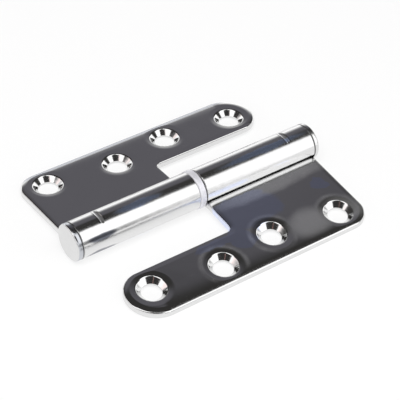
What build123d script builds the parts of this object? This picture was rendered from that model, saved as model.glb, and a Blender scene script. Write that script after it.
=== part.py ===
from build123d import *

import os
from math import asin, atan2, cos, degrees, hypot, radians, sin, sqrt, tan

# Flag hinge of the lift-off kind, in millimetres.
# Two equal leaves of rolled sheet meet end to end in one barrel. The pin leaf holds the turned pin, and the
# socket leaf lifts off it. The hinge lies open with its countersinks up: a shallow tent that rests on the
# bearing ring and on the outer edges of both leaves. The origin is on that surface, under the middle of the
# barrel. +X runs along the barrel to the socket leaf's knuckle, +Y to the pin leaf and +Z up.

# Sheet and rolled knuckle
sheet = 3.0
bore_diameter = 9.0
knuckle_length = 52.2
leaf_drop = 1.35  # from the pin's axis down to the top face of the leaf
bend_inside = 6.0  # radius under the leaf, where it turns down into the knuckle
seam_gap = 0.35  # between the end of the roll and the leaf
seam_corner = 0.8  # at both ends of the edge that closes the roll

# Outline of the leaf
leaf_reach = 45.0  # from the pin's axis to the outer edge
tongue_length = 53.3
tongue_width = 21.8
tongue_round = 12.0  # at the outer side of the free end
tongue_flat = 0.1  # what stays straight between the two rounds of the free end
corner_round = 8.6  # beside the knuckle, at the outer edge
notch_round = 2.2

# Edges of the sheet, as the stamping die leaves them
roll_in = 1.6  # how far the upper edge falls off over the face
roll_down = 0.5  # and down the side
roll_round = 6.5  # where the face turns into that fall
upper_edge_round = 0.8
lower_edge_round = 0.3

# Screw holes, four in a zigzag
hole_diameter = 8.0
sink_diameter = 12.0
sink_angle = 90
sink_lip = 1.0  # radius that eases the mouth of the countersink
dish_reach = 8.0  # radius of the shallow dish that sinking the hole leaves around it
dish_depth = 0.2
dish_round = 15.0
hole_from_end = 10.85
middle_pitch = 25.1
outer_row = 8.7  # from the outer edge
inner_row = 9.4  # from the tongue's inner edge

# Crimp that keeps the pin in one knuckle and the plug in the other
crimp_from_end = 10.65
crimp_width = 2.1
crimp_depth = 0.5
crimp_spread = 30  # degrees from the top of the barrel to where the crimp fades out
ridge_height = 0.3  # what the crimp raises inside the bore
groove_width = 2.6
groove_depth = 0.5

# Pin and plug
pin_clearance = 0.05
head_thickness = 2.5
head_inset = 0.05
head_gap = 0.1
head_crown = 0.25  # how much the middle of the head stands out
head_round = 1.0
head_edge_round = 0.2  # beside the knuckle
tip_round = 1.5
plug_length = 14.0
plug_bevel = 0.6
tip_gap = 2.0  # between the pin's tip and the plug

# Bearing ring
ring_width = 2.7
ring_proud = 0.25
ring_clearance = 0.05
ring_play = 0.05
ring_round = 0.5
lift_gap = 0.45  # how far the socket leaf stands off the ring

# Worked out from the above
bore_radius = bore_diameter / 2
barrel_radius = bore_radius + sheet
ring_radius = barrel_radius + ring_proud
pin_radius = bore_radius - pin_clearance
head_radius = barrel_radius - head_inset
knuckle_start = (ring_play + ring_width + lift_gap) / 2
knuckle_end = knuckle_start + knuckle_length
crimp_place = knuckle_end - crimp_from_end
head_start = knuckle_end + head_gap
head_end = head_start + head_thickness
plug_tip = head_start - plug_length
pin_tip = plug_tip - tip_gap
axis_height = ring_radius
under_drop = leaf_drop + sheet

# The leaf droops until the round of its lower outer edge touches the surface that the ring stands on.
edge_out = leaf_reach - lower_edge_round
edge_down = under_drop - lower_edge_round
reach = hypot(edge_out, edge_down)
droop = degrees(asin((axis_height - lower_edge_round) / reach) - atan2(edge_down, edge_out))

# Each leaf is drawn on a plane of its own: +X from its knuckle to its tongue, +Y outwards, +Z out of its face.
middle = (0, 0, axis_height)
lean = sin(radians(droop))
rise = cos(radians(droop))
pin_side = Plane(origin=middle, x_dir=(1, 0, 0), z_dir=(0, lean, rise))
socket_side = Plane(origin=middle, x_dir=(-1, 0, 0), z_dir=(0, -lean, rise))


def crimp_ring(side, surface, depth):
    """Part of a round wire ring that lies over the knuckle of `side`. It is set off centre, so that its inside is
    `depth` below a barrel surface at the top and comes back to that surface at both ends of the crimp."""
    wire = (crimp_width**2 / 4 + crimp_depth**2) / (2 * crimp_depth)
    end_out = surface * sin(radians(crimp_spread))
    end_up = surface * cos(radians(crimp_spread))
    off_centre = depth * (2 * surface - depth) / (2 * (surface - end_up - depth))
    inside = surface - depth + off_centre
    overrun = radians(1.5)
    swing = atan2(end_out, end_up + off_centre) + overrun
    upright = Plane(origin=side.origin, x_dir=side.x_dir, z_dir=(0, 0, 1))
    start = Plane(origin=(0, 0, -off_centre), x_dir=(1, 0, 0), z_dir=(0, -cos(swing), -sin(swing)))
    turn = Plane(upright * start)
    with BuildPart() as ring:
        with BuildSketch(turn):
            with Locations((-crimp_place, inside + wire)):
                Circle(wire)
        revolve(axis=Axis(turn.origin, -turn.x_dir), revolution_arc=2 * degrees(swing))
    return ring.part


def screw_hole():
    """Cutter for one screw hole, upright on the Z axis, with the leaf's face at Z 0: the hole, its countersink and
    the shallow dish around the mouth."""
    hole_radius = hole_diameter / 2
    mouth_radius = sink_diameter / 2
    sink_depth = (mouth_radius - hole_radius) / tan(radians(sink_angle / 2))
    over_face = 0.05  # the brim of the cutter rises off the face by this much
    with BuildPart() as cutter:
        with BuildSketch(Plane.XZ):
            with BuildLine():
                half = FilletPolyline(
                    (0, -2 * sheet),
                    (hole_radius, -2 * sheet),
                    (hole_radius, -dish_depth - sink_depth),
                    (mouth_radius, -dish_depth),
                    (dish_reach, 0),
                    (2 * dish_reach, over_face),
                    (2 * dish_reach, sheet),
                    (0, sheet),
                    radius=[0, 0, sink_lip, dish_round, 0, 0],
                )
                Line(half @ 1, half @ 0)
            make_face()
        revolve(axis=Axis.Z)
    return cutter.part


def rolled_leaf(side):
    """One leaf: a cut blank whose inner edge is rolled down, round and back over into the knuckle."""
    outwards = Axis(side.origin, side.y_dir)
    facing = Axis(side.origin, side.z_dir)
    tongue_end = tongue_length - knuckle_start
    notch_depth = leaf_reach - tongue_width

    # The bend meets the barrel where their two circles touch.
    bend_outside = bend_inside + sheet
    bend_down = leaf_drop + bend_outside
    bend_out = sqrt((barrel_radius + bend_inside) ** 2 - bend_down**2)
    meet = degrees(atan2(bend_down, bend_out))
    seam_down = leaf_drop - seam_gap
    seam = degrees(asin(seam_down / barrel_radius))
    roll = 360 - meet + seam

    ridge = crimp_ring(side, bore_radius, ridge_height)
    groove = crimp_ring(side, barrel_radius, crimp_depth)
    hole = screw_hole()

    with BuildPart() as leaf:
        # The section runs from the outer edge over the top of the sheet into the bore, and back outside.
        with BuildSketch(Plane(side * Plane.YZ.offset(-knuckle_end))):
            with BuildLine():
                Line((leaf_reach, -leaf_drop), (bend_out, -leaf_drop))
                CenterArc((bend_out, -bend_down), bend_outside, 90, 90 - meet)
                bore = CenterArc((0, 0), bore_radius, -meet, -roll)
                barrel = CenterArc((0, 0), barrel_radius, -seam, roll)
                Line(bore @ 1, barrel @ 0)
                CenterArc((bend_out, -bend_down), bend_inside, 180 - meet, meet - 90)
                Line((bend_out, -under_drop), (leaf_reach, -under_drop))
                Line((leaf_reach, -under_drop), (leaf_reach, -leaf_drop))
            make_face()
        extrude(amount=knuckle_length + tongue_length)

        # The outline of the blank, as seen on the leaf's face.
        with BuildSketch(side.offset(-ring_radius)):
            with BuildLine():
                blank = FilletPolyline(
                    (-knuckle_end, -ring_radius),
                    (-knuckle_end, leaf_reach),
                    (tongue_end, leaf_reach),
                    (tongue_end, notch_depth),
                    (-knuckle_start, notch_depth),
                    (-knuckle_start, -ring_radius),
                    radius=[corner_round, tongue_round, tongue_width - tongue_round - tongue_flat, notch_round],
                )
                Line(blank @ 1, blank @ 0)
            make_face()
        extrude(amount=2 * ring_radius, mode=Mode.INTERSECT)

        # The die lets the upper edge of the sheet fall off in a soft roll, and eases the lower edge. Both follow the
        # outline, and run on along the ends of the knuckle.
        face = leaf.faces().filter_by(facing).sort_by(facing)[-1]
        chamfer(face.edges().sort_by(outwards)[-1], length=roll_in, length2=roll_down, reference=face)
        face = leaf.faces().filter_by(facing).sort_by(facing)[-1]
        fillet(face.edges().sort_by(outwards)[-1], roll_round)
        outer_side = leaf.faces().filter_by(outwards).sort_by(outwards)[-1]
        fillet(outer_side.edges().sort_by(facing)[-1], upper_edge_round)
        outer_side = leaf.faces().filter_by(outwards).sort_by(outwards)[-1]
        fillet(outer_side.edges().sort_by(facing)[0], lower_edge_round)

        # The corners of the edge that closes the roll
        across = side.y_dir * cos(radians(seam)) - side.z_dir * sin(radians(seam))
        fillet(leaf.edges().filter_by(Axis(side.origin, across)), seam_corner)

        # Screw holes
        first = hole_from_end - knuckle_end
        last = tongue_end - hole_from_end
        centre = (first + last) / 2
        near = notch_depth + inner_row
        far = leaf_reach - outer_row
        zigzag = [
            (first, far),
            (centre - middle_pitch / 2, near),
            (centre + middle_pitch / 2, far),
            (last, near),
        ]
        top = side.offset(-leaf_drop)
        with Locations(*[top.location * Location((x, y, 0)) for x, y in zigzag]):
            add(hole, mode=Mode.SUBTRACT)

        # Crimp
        add(ridge)
        add(groove, mode=Mode.SUBTRACT)
    return leaf.part


def headed_stem(head_side, tip, tip_radius):
    """Turned part with a slightly crowned head at the +X end of its plane, and a groove for the crimp."""
    groove_start = crimp_place + groove_width / 2
    groove_end = crimp_place - groove_width / 2
    groove_radius = pin_radius - groove_depth
    with BuildPart() as stem:
        with BuildSketch(head_side) as profile:
            with BuildLine():
                face = TangentArc((head_end, 0), (head_end - head_crown, head_radius), tangent=(0, 1))
                rest = Polyline(
                    face @ 1,
                    (head_start, head_radius),
                    (head_start, pin_radius),
                    (groove_start, pin_radius),
                    (groove_start, groove_radius),
                    (groove_end, groove_radius),
                    (groove_end, pin_radius),
                    (tip, pin_radius),
                    (tip, 0),
                )
                Line(rest @ 1, face @ 0)
            make_face()
            for corner, radius in (
                ((head_end - head_crown, head_radius), head_round),
                ((head_start, head_radius), head_edge_round),
                ((tip, pin_radius), tip_radius),
            ):
                fillet(profile.vertices().sort_by_distance(corner)[0], radius)
        revolve(axis=Axis(head_side.origin, head_side.x_dir))
    return stem.part


with BuildPart() as pin_leaf:
    add(rolled_leaf(pin_side))
pin_leaf.part.label = "pin_leaf"

with BuildPart() as socket_leaf:
    add(rolled_leaf(socket_side))
socket_leaf.part.label = "socket_leaf"

# The pin's head closes the pin leaf's end of the barrel, and its shank runs on into the socket.
with BuildPart() as hinge_pin:
    add(headed_stem(Plane(origin=middle, x_dir=(-1, 0, 0), z_dir=(0, 1, 0)), -pin_tip, tip_round))
hinge_pin.part.label = "hinge_pin"

# The plug has the same head, and closes the socket leaf's end.
with BuildPart() as end_plug:
    add(headed_stem(Plane(origin=middle, x_dir=(1, 0, 0), z_dir=(0, -1, 0)), plug_tip, plug_bevel))
end_plug.part.label = "end_plug"

# The ring carries the socket leaf and stands a little proud of the barrel.
with BuildPart() as bearing_ring:
    with BuildSketch(Plane(origin=(ring_play - knuckle_start, 0, axis_height), x_dir=(0, 1, 0), z_dir=(1, 0, 0))):
        Circle(ring_radius)
        Circle(bore_radius + ring_clearance, mode=Mode.SUBTRACT)
    extrude(amount=ring_width)
    rims = bearing_ring.edges().filter_by(GeomType.CIRCLE).group_by(SortBy.RADIUS)[-1]
    fillet(rims, ring_round)
bearing_ring.part.label = "bearing_ring"

os.makedirs("parts", exist_ok=True)
export_step(pin_leaf.part, "parts/pin_leaf.step")
export_step(socket_leaf.part, "parts/socket_leaf.step")
export_step(hinge_pin.part, "parts/hinge_pin.step")
export_step(end_plug.part, "parts/end_plug.step")
export_step(bearing_ring.part, "parts/bearing_ring.step")
print(f"droop {droop:.3f} degrees, barrel {2 * head_end:.2f} long, pin tip at {pin_tip:.2f}")
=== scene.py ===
# %% [markdown]
# # A lift-off flag hinge in polished steel
#
# The hinge lies open on a white table, countersinks up: two leaves of rolled sheet, a turned pin whose head
# closes one end of the barrel, a plug that closes the other, and a bearing ring between the knuckles. The
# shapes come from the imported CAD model, which is loaded here as a fixed frame. This lesson gives each piece
# its finish, and builds the small studio that a polished surface needs, because most of what the eye sees
# on it is the room around it.

import math

import bpy
from mathutils import Matrix, Vector

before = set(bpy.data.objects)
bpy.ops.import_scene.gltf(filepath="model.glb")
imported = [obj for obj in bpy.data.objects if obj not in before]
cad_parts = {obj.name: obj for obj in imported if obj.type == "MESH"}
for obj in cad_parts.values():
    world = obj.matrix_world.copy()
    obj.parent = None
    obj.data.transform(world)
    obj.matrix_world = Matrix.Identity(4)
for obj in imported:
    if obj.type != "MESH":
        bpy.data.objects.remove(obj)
bpy.context.view_layer.update()
MM = 0.001
print("nodes:", ", ".join(sorted(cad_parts)))

# %% [markdown]
# ## Shader maths as plain Python
#
# A finish is mostly arithmetic on textures. Written as nodes, `1 - mask * 0.3` takes five statements. The
# class below wraps the output of a node, so that the same line can be written as it is read. Numbers go
# through Math nodes, while colours go through `blend`, because a Math node would turn them grey.


# %% A small class for shader maths
class Value:
    """The output of a shader node. Arithmetic on it adds Math nodes."""

    def __init__(self, graph, socket):
        self.graph = graph
        self.socket = socket

    def math(self, operation, *others):
        return self.graph.add("ShaderNodeMath", {"operation": operation}, dict(enumerate((self, *others))))

    def __add__(self, other):
        return self.math("ADD", other)

    def __radd__(self, other):
        return self.math("ADD", other)

    def __mul__(self, other):
        return self.math("MULTIPLY", other)

    def __rmul__(self, other):
        return self.math("MULTIPLY", other)

    def __truediv__(self, other):
        return self.math("DIVIDE", other)

    def __sub__(self, other):
        return self.math("SUBTRACT", other)

    def __rsub__(self, other):
        return (self * -1) + other

    def step(self, start, end):
        """0 up to start and 1 from end on, with a smooth rise between. An end below start turns it round."""
        if start > end:
            return 1 - self.step(end, start)
        settings = {"interpolation_type": "SMOOTHSTEP"}
        inputs = {"Value": self, "From Min": start, "From Max": end}
        return self.graph.add("ShaderNodeMapRange", settings, inputs)

    def between(self, low, high, soft):
        """1 between low and high, with soft edges."""
        return self.step(low - soft, low + soft) * self.step(high + soft, high - soft)


print("Value ready")

# %% [markdown]
# ## One method for every node
#
# All nodes come from one method, `add`. It sets the node's own settings first, because some of them change
# which sockets a node has, and then gives each socket a link or a number.


# %% A node tree that is being written
class Graph:
    """The node tree of a material or of the world. It starts empty."""

    def __init__(self, tree):
        self.tree = tree
        tree.nodes.clear()

    def add(self, kind, settings=None, inputs=None, output=0):
        """Any node. Returns its first output, or the one that is named."""
        node = self.tree.nodes.new(kind)
        for name, setting in (settings or {}).items():
            setattr(node, name, setting)
        for name, value in (inputs or {}).items():
            if isinstance(value, Value):
                self.tree.links.new(value.socket, node.inputs[name])
            else:
                node.inputs[name].default_value = value
        return Value(self, node.outputs[output]) if node.outputs else None

    def split(self, vector):
        """The X, Y and Z of a vector."""
        return [self.add("ShaderNodeSeparateXYZ", inputs={"Vector": vector}, output=axis) for axis in "XYZ"]

    def blend(self, factor, first, second):
        """Colour `first` where factor is 0, and `second` where it is 1."""
        return self.add("ShaderNodeMix", {"data_type": "RGBA"}, {0: factor, 6: first, 7: second}, output=2)

    def blend_normal(self, factor, wanted):
        """The surface's own normal where factor is 0, and `wanted`, in the object's axes, where it is 1."""
        own = self.add("ShaderNodeTexCoord", output="Normal")
        mixed = self.add("ShaderNodeMix", {"data_type": "VECTOR"}, {0: factor, 4: own, 5: wanted}, output=1)
        turn = {"vector_type": "NORMAL", "convert_from": "OBJECT", "convert_to": "WORLD"}
        return self.add("ShaderNodeVectorTransform", turn, {"Vector": mixed})


def grey(level, warmth=0.0):
    """A near-neutral colour as RGBA. Positive warmth leans to red, and negative to blue."""
    return (level * (1 + warmth), level, level * (1 - warmth), 1)


print("Graph ready")

# %% [markdown]
# ## Bare metal
#
# All five pieces are bare steel, so they share one shader: the Principled one with its Metallic value. At 1
# the base colour only tints the reflections, so a dark base colour reads as a gap or as dirt. A value a
# little below 1 lets in some plain diffuse light, and that reads as haze on the polish.
#
# Textures are placed by Object coordinates, so that they stay on a piece when it moves, and in millimetres,
# so that their scales read as real sizes.


# %% What every metal needs
def new_material(name):
    material = bpy.data.materials.new(name)
    material.use_nodes = True
    return material, Graph(material.node_tree)


def finish_metal(graph, colour, roughness, normal, metallic=1.0):
    surface = graph.add(
        "ShaderNodeBsdfPrincipled",
        inputs={"Base Color": colour, "Metallic": metallic, "Roughness": roughness, "Normal": normal},
    )
    graph.add("ShaderNodeOutputMaterial", inputs={"Surface": surface})


def place_in_mm(graph, stretch=(1, 1, 1)):
    where = graph.add("ShaderNodeTexCoord", output="Object")
    scale = tuple(1 / MM * s for s in stretch)
    return graph.add("ShaderNodeMapping", inputs={"Vector": where, "Scale": scale})


def noise(graph, where, scale, detail):
    """A soft random texture, with about `scale` waves to the millimetre."""
    return graph.add("ShaderNodeTexNoise", inputs={"Vector": where, "Scale": scale, "Detail": detail})


def bump(graph, height, **inputs):
    """A normal from a height in millimetres."""
    return graph.add("ShaderNodeBump", inputs={"Height": height, "Distance": MM, "Strength": 1.0, **inputs})


def squares(ends):
    """The ends of a step, for a distance that is kept as its square to save a root."""
    return [end**2 for end in ends]


print("metal helpers ready")

# %% [markdown]
# ## Places on a leaf
#
# Both leaves are the same blank, one of them turned half a turn. A mark is therefore placed by the leaf's
# own x, along the barrel towards the free end, and y, outwards from the barrel's axis. Object coordinates
# times the sign of north give just that. The finish also needs to know which leaf it is on, and where the
# sheet is rolled into the barrel. North of the axis is the pin leaf, and south of it the socket leaf, but
# the barrel has a south side all along. So `south` picks the socket leaf on the flats, and the side towards
# the photographer on both knuckles.
#
# Places and sizes on the pieces are in millimetres from here on. Where one distance has two numbers, they
# are the ends of a `step`.

# %% Leaf places
BARREL_HEIGHT = 0.00775  # in metres, like the objects
ROLL_ENDS = (8.83, 8.12)  # from the barrel's axis


class LeafPlaces:
    """Coordinates in millimetres, and masks of where on the two leaves a point is."""

    def __init__(self, graph):
        self.where = place_in_mm(graph)
        self.east, north, up = graph.split(self.where)
        self.half = north.math("SIGN")
        self.x, self.y = self.east * self.half, north * self.half
        self.south = north.step(0.01, -0.01)
        rise = up - BARREL_HEIGHT / MM
        self.barrel = (self.y * self.y + rise * rise).step(*squares(ROLL_ENDS))
        own_normal = graph.add("ShaderNodeTexCoord", output="Normal")
        self.facing_up = graph.split(own_normal)[2].step(0.8, 0.9)

    def from_point(self, x, y):
        """Distance from a point of the leaf."""
        off_x, off_y = self.x - x, self.y - y
        return (off_x * off_x + off_y * off_y).math("SQRT")


print("barrel axis at", BARREL_HEIGHT / MM, "mm")

# %% [markdown]
# ## Marks on the near leaf
#
# The near leaf isn't as clean as the far one. A thin bluish film, such as oil leaves, tints its reflections
# in a few patches: that goes through the base colour. A pale haze lies between the holes and the outer
# edge, and along the barrel, and a faint ring of it surrounds three of the holes, where the polishing wheel
# rode over the edge of the dish: that goes through Metallic. More roughness would blur the reflections
# there, while haze only pales them.
#
# Each mark is a list of soft ellipses, given as x, y, half width and half height. A noise pushes their
# outlines about, so that none looks drawn.

# %% Film and haze
FILM = ((-45.8, 20.3, 3.6, 3.0), (-11, 12.3, 13, 2.6), (-12, 19, 15, 8), (-2, 29, 5, 5), (7, 26.5, 11, 2.0))
HAZE = ((-30, 35.5, 9, 7), (-45, 38, 8, 8), (-30, 11, 26, 4))
HAZE_END = (43.5, 39.5)  # towards the outer edge
RINGED_HOLES = ((-42.95, 36.3), (-13.6, 32.6), (11.5, 36.3))
RING_INSIDE, RING_OUTSIDE = (7.4, 8.6), (10.4, 9.0)  # from the hole's middle


def blots(leaf, places, texture, fray, soft):
    """Soft blots on a leaf. The texture pushes their outlines about by a part of `fray`."""
    wander = (texture - 0.5) * fray
    mask = 0
    for centre_x, centre_y, half_x, half_y in places:
        across = (leaf.x - centre_x + wander) / half_x
        along = (leaf.y - centre_y - wander) / half_y
        blot = (across * across + along * along).step(1 + soft, 1 - soft)
        mask = blot.math("MAXIMUM", mask)
    return mask


def film_mask(leaf, patchy):
    return blots(leaf, FILM, patchy, fray=5, soft=0.25) * (1 - leaf.barrel) * leaf.south


def haze_mask(leaf, broad, patchy):
    haze = blots(leaf, HAZE, broad, fray=4, soft=0.85)
    for x, y in RINGED_HOLES:
        distance = leaf.from_point(x, y)
        ring = distance.step(*RING_INSIDE) * distance.step(*RING_OUTSIDE)
        haze = haze.math("MAXIMUM", ring * (patchy * 1.2 - 0.2))
    return haze * leaf.y.step(*HAZE_END) * leaf.south * leaf.facing_up


print(len(FILM), "patches of film,", len(HAZE), "of haze")

# %% [markdown]
# ## Marks on the barrel
#
# The top of both knuckles has a bluish bloom on its near side. Low on the pin knuckle, near the head, a dark
# patch is a painted reflection of something dark in the room. Each crimp was pressed after the sheet was
# polished, so its bottom is duller, and its two edges get painted shade. The thin gap between knuckle and
# head gets painted shade too, because little light gets into it: on steel, a dark base colour does that
# better than a deeper groove, which would only show another reflection.

# %% Bloom, painted reflection, and crimps and end gaps with painted shade
BLOOM = ((-31, 1.9, 20, 1.3), (27, 1.9, 10, 1.3))
# a painted dark reflection low on the pin knuckle, near the head
PAINTED_REFLECTION = ((45.5, 6.6, 6, 0.6),)
# where the painted shade of the end gaps begins
END_GAP = (53.35, 53.6)  # from the middle of the barrel's length, like the next one
CRIMP = 43.15
CRIMP_BOTTOM, CRIMP_LENGTH = (1.0, 0.7), (3.46, 2.45)  # off its middle line, and off the top of the barrel
LIP_INSIDE, LIP_OUTSIDE, LIP_LENGTH = (0.8, 1.0), (1.5, 1.1), (3.74, 2.83)


def bloom_mask(leaf, patchy):
    return blots(leaf, BLOOM, patchy, fray=1.5, soft=0.6) * leaf.barrel * leaf.south


def painted_reflection_mask(leaf, patchy):
    return blots(leaf, PAINTED_REFLECTION, patchy, fray=0.5, soft=0.5) * leaf.barrel * leaf.south


def crimp_masks(leaf):
    """The bottom of both crimps, and painted shade on the edges of each."""
    off_crimp = (leaf.east.math("ABSOLUTE") - CRIMP).math("ABSOLUTE")
    off_top = leaf.y * leaf.y
    bottom = off_crimp.step(*CRIMP_BOTTOM) * off_top.step(*squares(CRIMP_LENGTH))
    # painted shade along both edges of each crimp
    lip_shade = off_crimp.step(*LIP_INSIDE) * off_crimp.step(*LIP_OUTSIDE) * off_top.step(*squares(LIP_LENGTH))
    return bottom * leaf.barrel, lip_shade * leaf.barrel


def end_gap_shade_mask(leaf):
    """Painted shade in the gaps beside both heads, less dark on the side towards the photographer."""
    return leaf.east.math("ABSOLUTE").step(*END_GAP) * leaf.barrel * (0.85 - leaf.south * 0.35)


print("crimps at", CRIMP, "mm from the middle")

# %% [markdown]
# ## Slight shapes of the sheet
#
# Three shapes are so slight that only the reflections show them. Polishing leaves the faces wavy, with hair
# lines along the way of the wheel. Outside the hole row, each leaf falls off towards its outer edge by a
# fraction of a millimetre, up to where its free end rounds off. Both are heights for a Bump node. On the
# rim of the notch, the die pulled the face down less than on the outer edge, so there the shading normal is
# turned most of the way back to that of the flat leaf.

# %% Waves, crown and notch rim
WAVE_HEIGHT = 0.030
LINE_HEIGHT = 0.0004
BARREL_WAVE_HEIGHT = 0.02
CROWN_START = 35.7  # outwards from the barrel's axis
CROWN_WIDTH = 8.4
CROWN_BEND = 0.0005  # the fall is this times the third power of the way out
CROWN_END = (46, 40)  # towards the free end
DROOP = math.radians(4.377)
NOTCH = (-2.2, 22.2)  # its corner
NOTCH_RIM = (2.45, 2.0)  # how far the rim reaches over the face


def height_of_face(graph, leaf, broad, patchy):
    lines = noise(graph, place_in_mm(graph, stretch=(0.06, 1, 1)), 5.0, detail=2.0)
    past_row = (leaf.y - CROWN_START).math("MAXIMUM", 0) * leaf.x.step(*CROWN_END)
    crown = past_row.math("MINIMUM", CROWN_WIDTH).math("POWER", 3)
    all_over = broad * WAVE_HEIGHT + lines * LINE_HEIGHT - crown * CROWN_BEND
    return all_over + leaf.barrel * patchy * BARREL_WAVE_HEIGHT


def flattened_notch_rim(graph, leaf):
    to_notch_x = (NOTCH[0] - leaf.x).math("MAXIMUM", 0)
    to_notch_y = (leaf.y - NOTCH[1]).math("MAXIMUM", 0)
    squared = to_notch_x * to_notch_x + to_notch_y * to_notch_y
    rim = squared.step(*squares(NOTCH_RIM)) * (1 - leaf.barrel)
    upright = {"X": 0.0, "Y": leaf.half * math.sin(DROOP), "Z": math.cos(DROOP)}
    flat = graph.add("ShaderNodeCombineXYZ", inputs=upright)
    return graph.blend_normal(rim * leaf.facing_up * 0.8, flat)


print("leaves droop by", round(math.degrees(DROOP), 2), "degrees")

# %% [markdown]
# ## The finish of the leaves
#
# The leaves are stainless sheet, stamped, rolled and polished to a mirror. A flat grey with low roughness
# would look like plastic. So the metal is bright, its roughness drifts a little, and the marks and slight
# shapes above come together here. One more is painted shade on the outer edge of the far leaf, which faces
# away from the eye: greyer and less metallic, it stands in for the shaded table that the edge reflects, and
# reads as a pale grey line.

# %% Polished sheet
# painted shade: where the far leaf's outer rim turns greyer and less metallic
FAR_RIM_SHADE = (41.8, 43.4)


def polished_sheet():
    material, graph = new_material("polished_sheet")
    leaf = LeafPlaces(graph)
    broad = noise(graph, leaf.where, 0.09, detail=2.0)
    patchy = noise(graph, leaf.where, 0.18, detail=2.0)
    fine = noise(graph, leaf.where, 0.9, detail=3.0)

    haze = haze_mask(leaf, broad, patchy)
    bloom = bloom_mask(leaf, patchy)
    crimp, lip_shade = crimp_masks(leaf)
    # painted shade on the far leaf's outer rim, for the shaded table that it reflects
    far_rim_shade = leaf.y.step(*FAR_RIM_SHADE) * (1 - leaf.south)
    marks = (
        (film_mask(leaf, patchy) * 0.8, (0.72, 0.78, 1.0, 1)),
        # painted shade in the gaps beside the heads
        (end_gap_shade_mask(leaf), grey(0.08)),
        (far_rim_shade, (0.42, 0.43, 0.47, 1)),
        (bloom, (0.5, 0.6, 0.85, 1)),
        # painted dark reflection low on the pin knuckle
        (painted_reflection_mask(leaf, patchy), (0.16, 0.17, 0.20, 1)),
        # painted shade on the crimps' edges
        (lip_shade * 0.7, grey(0.12)),
    )
    colour = graph.blend(broad, grey(0.75), grey(0.78))
    for mask, tint in marks:
        colour = graph.blend(mask, colour, tint)

    roughness = 0.08 + broad * 0.04 + fine * 0.02 + leaf.barrel * 0.06
    metallic = 1 - haze * 0.12 - bloom * 0.09 - crimp * 0.12 - far_rim_shade * 0.3
    height = height_of_face(graph, leaf, broad, patchy)
    normal = bump(graph, height, Normal=flattened_notch_rim(graph, leaf))
    finish_metal(graph, colour, roughness, normal, metallic)
    return material


leaf_finish = polished_sheet()
print("polished sheet:", len(leaf_finish.node_tree.nodes), "nodes")

# %% [markdown]
# ## The turned heads
#
# The pin's head and the plug's head are turned and only lightly polished, so their reflections are softer.
# Their end faces are slightly crowned, and where all the facets of such a crown meet, in the middle, the
# smoothed normals show a dot. There the normal is set to the axis. The side of the pin's head gets painted
# shade, greyer than the knuckle beside it, and the gap beside both heads gets painted shade, as on the
# knuckles.

# %% Turned steel
HEAD_FACE = (55, 56)  # from the middle of the barrel's length, like the next two
HEAD_SIDE = (55.9, 55.6)
# where the painted shade in the gap beside each head begins
HEAD_GAP = (54.3, 54.05)
DOT = (1.73, 1.22)  # from the barrel's axis
# painted shade on the side of the pin's head
SIDE_SHADE = (0.55, 0.565, 0.60, 1)


def turned_steel():
    material, graph = new_material("turned_steel")
    where = place_in_mm(graph)
    fine = noise(graph, where, 0.5, detail=3.0)
    x, y, z = graph.split(where)
    side = x.math("ABSOLUTE")
    rise = z - BARREL_HEIGHT / MM
    middle = (y * y + rise * rise).step(*squares(DOT)) * side.step(*HEAD_FACE)
    outwards = graph.add("ShaderNodeCombineXYZ", inputs={"X": x.math("SIGN"), "Y": 0.0, "Z": 0.0})
    pin_head_side_shade = side.step(*HEAD_SIDE) * x.step(0, -1)
    colour = graph.blend(fine, grey(0.72), grey(0.77))
    # painted shade on the side of the pin's head only, not on the plug's
    colour = graph.blend(pin_head_side_shade, colour, SIDE_SHADE)
    # painted shade in the gap beside both heads
    colour = graph.blend(side.step(*HEAD_GAP) * 0.8, colour, grey(0.08))
    normal = bump(graph, fine * 0.02, Normal=graph.blend_normal(middle, outwards))
    finish_metal(graph, colour, 0.17 + fine * 0.06, normal)
    return material


head_finish = turned_steel()
print("turned steel:", len(head_finish.node_tree.nodes), "nodes")

# %% [markdown]
# ## The bearing ring
#
# The ring between the knuckles is the one piece without a mirror on it: it looks pale, satin and slightly
# violet, and shows no ceiling. A high roughness alone still lets the dark ceiling grey it on top, so it is
# only partly metallic.


# %% Ring steel
def ring_steel():
    material, graph = new_material("ring_steel")
    fine = noise(graph, place_in_mm(graph), 2.0, detail=4.0)
    colour = graph.blend(fine, (0.79, 0.785, 0.83, 1), (0.84, 0.835, 0.88, 1))
    finish_metal(graph, colour, 0.42 + fine * 0.08, bump(graph, fine * 0.01), metallic=0.45)
    return material


ring_finish = ring_steel()
print("ring steel:", len(ring_finish.node_tree.nodes), "nodes")

# %% [markdown]
# ## Each piece gets its finish
#
# The CAD model gives every piece one material slot, named after what the piece is made like. Pin and plug
# share a slot's name, as they come off the same lathe, and so do the two leaves.

# %% Put the finishes on
finishes = {"polished_leaf": leaf_finish, "turned_steel": head_finish, "ring_steel": ring_finish}
for name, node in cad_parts.items():
    for slot in node.material_slots:
        slot.material = finishes[slot.material.name.split(".")[0]]
    print(name, "gets", node.material_slots[0].material.name)

# %% [markdown]
# ## A white table
#
# The hinge was photographed on white, with next to no shadow. A white diffuse floor alone goes grey in the
# render, so for camera rays and for reflections most of it is plain white light. The rest is the real
# floor, which still shows where the hinge shades it.

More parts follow.
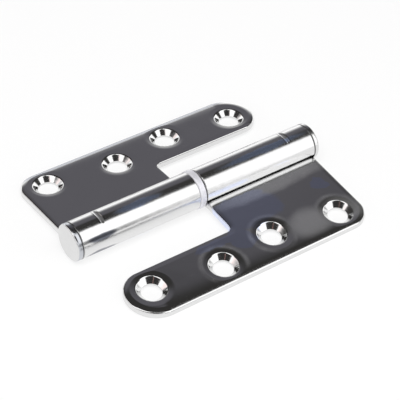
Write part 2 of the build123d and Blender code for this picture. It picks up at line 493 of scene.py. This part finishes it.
# %% Table
TABLE_HALF = 3.0
bpy.ops.mesh.primitive_plane_add(size=2 * TABLE_HALF)
table = bpy.context.object
table.name = "table"
material, graph = new_material("white_table")
path = {kind: graph.add("ShaderNodeLightPath", output=f"Is {kind} Ray") for kind in ("Camera", "Glossy")}
board = graph.add("ShaderNodeBsdfDiffuse", inputs={"Color": grey(0.9)})
glow = graph.add("ShaderNodeEmission", inputs={"Color": grey(1.0), "Strength": 1.0})
share = path["Camera"] * 0.76 + path["Glossy"] * 0.7
surface = graph.add("ShaderNodeMixShader", inputs={0: share, 1: board, 2: glow})
graph.add("ShaderNodeOutputMaterial", inputs={"Surface": surface})
table.data.materials.append(material)
print("table", 2 * TABLE_HALF, "m wide")

# %% [markdown]
# ## The studio as a map of directions
#
# Polished steel shows the room, and the photograph tells what the room was. The walls of each countersink
# slope at 45 degrees and face all ways, so a ring of them samples the room all round, while the barrel
# samples it from the horizon up to the ceiling. What was read back from there is painted on the world, by
# compass angle and height in degrees, with 0 on the compass behind the hinge and 90 to the right. Only
# reflections see it: camera rays get plain white.

# %% Directions
world = bpy.data.worlds.new("studio")
bpy.context.scene.world = world
world.use_nodes = True
graph = Graph(world.node_tree)
direction = graph.add("ShaderNodeTexCoord", output="Generated")
east, north, up = graph.split(direction)
DEGREES = 180 / math.pi
height = up.math("ARCSINE") * DEGREES


def around(centre):
    """Compass angle in degrees from `centre`, where 0 is +Y and 90 is +X."""
    turn = math.radians(centre)
    across = east * math.cos(turn) - north * math.sin(turn)
    ahead = east * math.sin(turn) + north * math.cos(turn)
    return across.math("ARCTAN2", ahead) * DEGREES


compass = around(0)
front = around(180)
print("directions ready")

# %% [markdown]
# ## What is dark in it
#
# - A dark ceiling behind the hinge. Its lower edge, the skyline, is soft behind the hinge and towards the
#   right, and climbs in a line towards the left. Its left end is upright, and its right end slants.
# - The dark side where the photographer stands, from some height up.
# - A dark doorway low down in that side, which the countersinks show as a wedge.


# %% Ceiling, camera side and doorway
def patch(angle, sides, levels):
    """A soft rectangle in the room. Its sides and its levels are given as from, to and softness."""
    return angle.between(*sides) * height.between(*levels)


climbing_left = 7 - compass * 0.42
nearly_level = 14.5 + compass * 0.07
above = height - climbing_left.math("MAXIMUM", nearly_level)
blur = 2.5 + 11.5 * compass.between(0, 60, 25)
left_end = compass.step(-79, -74)
right_end = (compass + height * 0.37).step(142, 134)
ceiling = (above / blur).step(-1, 1) * left_end * right_end

slanting_end = (front + height * 1.65).step(152, 146)
camera_side = front.between(-15, 90, 3) * height.step(24, 30) * slanting_end
doorway = patch(front, sides=(-26.5, -4, 3), levels=(-20, 18, 4)) * 0.95
dark = ceiling.math("MAXIMUM", camera_side).math("MAXIMUM", doorway)
print("dark things: ceiling, camera side, doorway")

# %% [markdown]
# ## The colours of the room
#
# The part of the ceiling that the flat leaves show is lit a little, and it is slightly blue. A narrow
# pinkish stand cuts through the dark camera side, and the wall just under the skyline is faintly pink on
# the left. Everywhere else the walls are white, apart from two low stretches that this view never sees: the
# hinge's outer edges reflect them in other views, where white edges on a white table would vanish, so they
# are grey.

# %% Walls and ceiling
CEILING_TINT = (0.124, 0.121, 0.136, 1)
STAND_TINT = (0.7, 0.42, 0.38, 1)
EDGE_TINT = (1.35, 1.12, 1.09, 1)
lit_ceiling = patch(compass, sides=(2, 56, 14), levels=(22, 52, 4.5))
stand = patch(front, sides=(37.5, 39.5, 1), levels=(30, 50, 2))
pink_edge = above.between(-4, -1, 1.5) * compass.step(-16, -26)
behind_left = compass.between(-172, -22, 8) * height.step(24, 4)
far_right = compass.between(96, 138, 5) * height.step(15, 5)
low_wall = behind_left.math("MAXIMUM", far_right)
white_wall = graph.blend(low_wall, grey(1.45), grey(0.42))
white_wall = graph.blend(pink_edge, white_wall, EDGE_TINT)
dark_wall = graph.blend(lit_ceiling, grey(0.036, 0.03), CEILING_TINT)
dark_wall = graph.blend(stand, dark_wall, STAND_TINT)
room = graph.blend(dark, white_wall, dark_wall)
camera_ray = graph.add("ShaderNodeLightPath", output="Is Camera Ray")
shown = graph.blend(camera_ray, room, grey(1.0))
background = graph.add("ShaderNodeBackground", inputs={"Color": shown, "Strength": 1.0})
graph.add("ShaderNodeOutputWorld", inputs={"Surface": background})
print("room:", len(world.node_tree.nodes), "nodes")

# %% [markdown]
# ## The softbox
#
# One large lamp above gives the table its light and the hinge a faint shadow under its edges. The steel
# doesn't reflect it, because the photograph shows no such square in the ceiling.

# %% Lamp
lamp_data = bpy.data.lights.new("softbox", "AREA")
lamp_data.shape = "SQUARE"
lamp_data.size = 0.8
lamp_data.energy = 8.0
lamp = bpy.data.objects.new("softbox", lamp_data)
lamp.location = (-0.25, -0.35, 0.9)
lamp.rotation_euler = (-lamp.location).to_track_quat("-Z", "Y").to_euler()
lamp.visible_glossy = False
bpy.context.scene.collection.objects.link(lamp)
print("lamp", lamp_data.energy, "W")

# %% [markdown]
# ## The camera
#
# The photograph looks along the barrel from the pin's end, with a long lens. Its place was found by fitting
# the hinge's holes and outlines, and it is written here as a direction, a distance and a roll.

# %% Camera
FRAME_PIXELS = 400
LOOK_AZIMUTH = -37.84
LOOK_ELEVATION = 41.28
LOOK_ROLL = 3.893
LOOK_DISTANCE = 0.57327
FOCAL_PIXELS = 1498.96
OFF_CENTRE = (-6.663, -10.550)

azimuth = math.radians(LOOK_AZIMUTH)
elevation = math.radians(LOOK_ELEVATION)
back = Vector(
    (
        math.sin(azimuth) * math.cos(elevation),
        -math.cos(azimuth) * math.cos(elevation),
        math.sin(elevation),
    )
)
camera_data = bpy.data.cameras.new("camera")
camera_data.lens = camera_data.sensor_width * FOCAL_PIXELS / FRAME_PIXELS
camera_data.shift_x = -OFF_CENTRE[0] / FRAME_PIXELS
camera_data.shift_y = OFF_CENTRE[1] / FRAME_PIXELS
camera_data.clip_start = 0.01
camera = bpy.data.objects.new("camera", camera_data)
level_view = (-back).to_track_quat("-Z", "Y").to_matrix()
rolled_view = level_view @ Matrix.Rotation(math.radians(LOOK_ROLL), 3, "Z")
eye = Vector((0, 0, BARREL_HEIGHT)) + back * LOOK_DISTANCE
camera.matrix_world = Matrix.Translation(eye) @ rolled_view.to_4x4()
bpy.context.scene.collection.objects.link(camera)
bpy.context.scene.camera = camera
bpy.context.scene.view_settings.view_transform = "Standard"
print("lens", round(camera_data.lens, 1), "mm")
